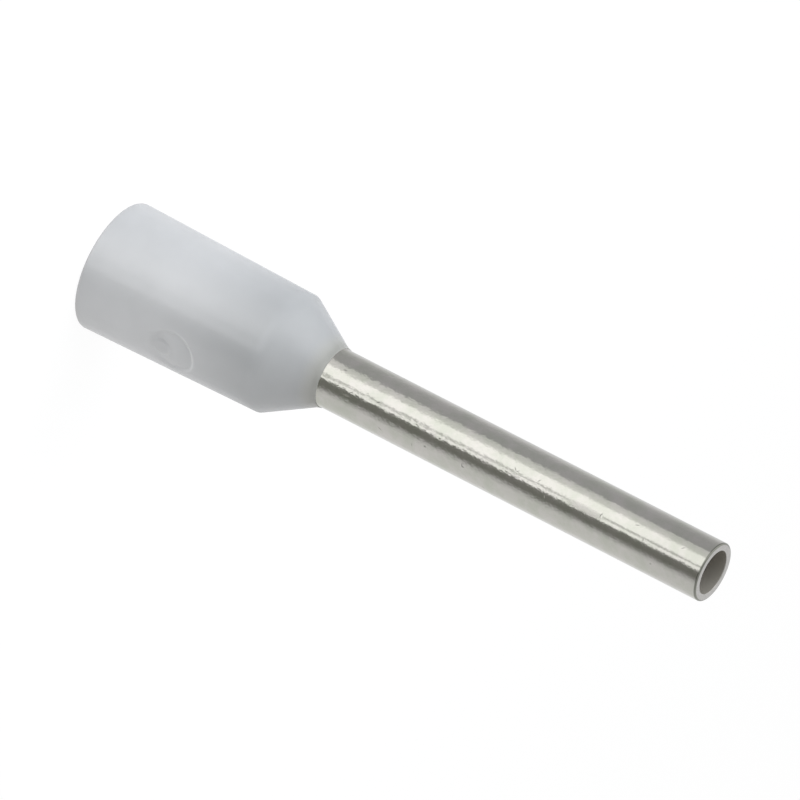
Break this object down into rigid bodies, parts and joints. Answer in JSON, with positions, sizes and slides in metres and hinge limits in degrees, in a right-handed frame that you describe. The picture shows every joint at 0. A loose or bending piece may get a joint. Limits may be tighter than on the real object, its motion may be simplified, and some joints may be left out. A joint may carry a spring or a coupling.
{
  "type": "insulated wire ferrule",
  "caption": "Bootlace ferrule: tinned copper crimp sleeve with a flared end, seated in a white plastic collar that guides the stripped wire in.",
  "frame": {"origin": "centre of the collar's mouth, in the plane of its rim", "axes": "+Z along the ferrule's axis, from the collar's mouth to the sleeve's cut end; the moulding gate's mark faces -Y"},
  "size_m": [0.003, 0.003, 0.0159],
  "materials": {
    "collar_plastic": "white polypropylene, smooth with a soft gloss",
    "tinned_copper": "electro-tinned copper, bright with fine drawing lines and small pits"
  },
  "bodies": {
    "root": {"insulating_collar": "collar_plastic", "metal_sleeve": "tinned_copper"}
  },
  "joints": []
}
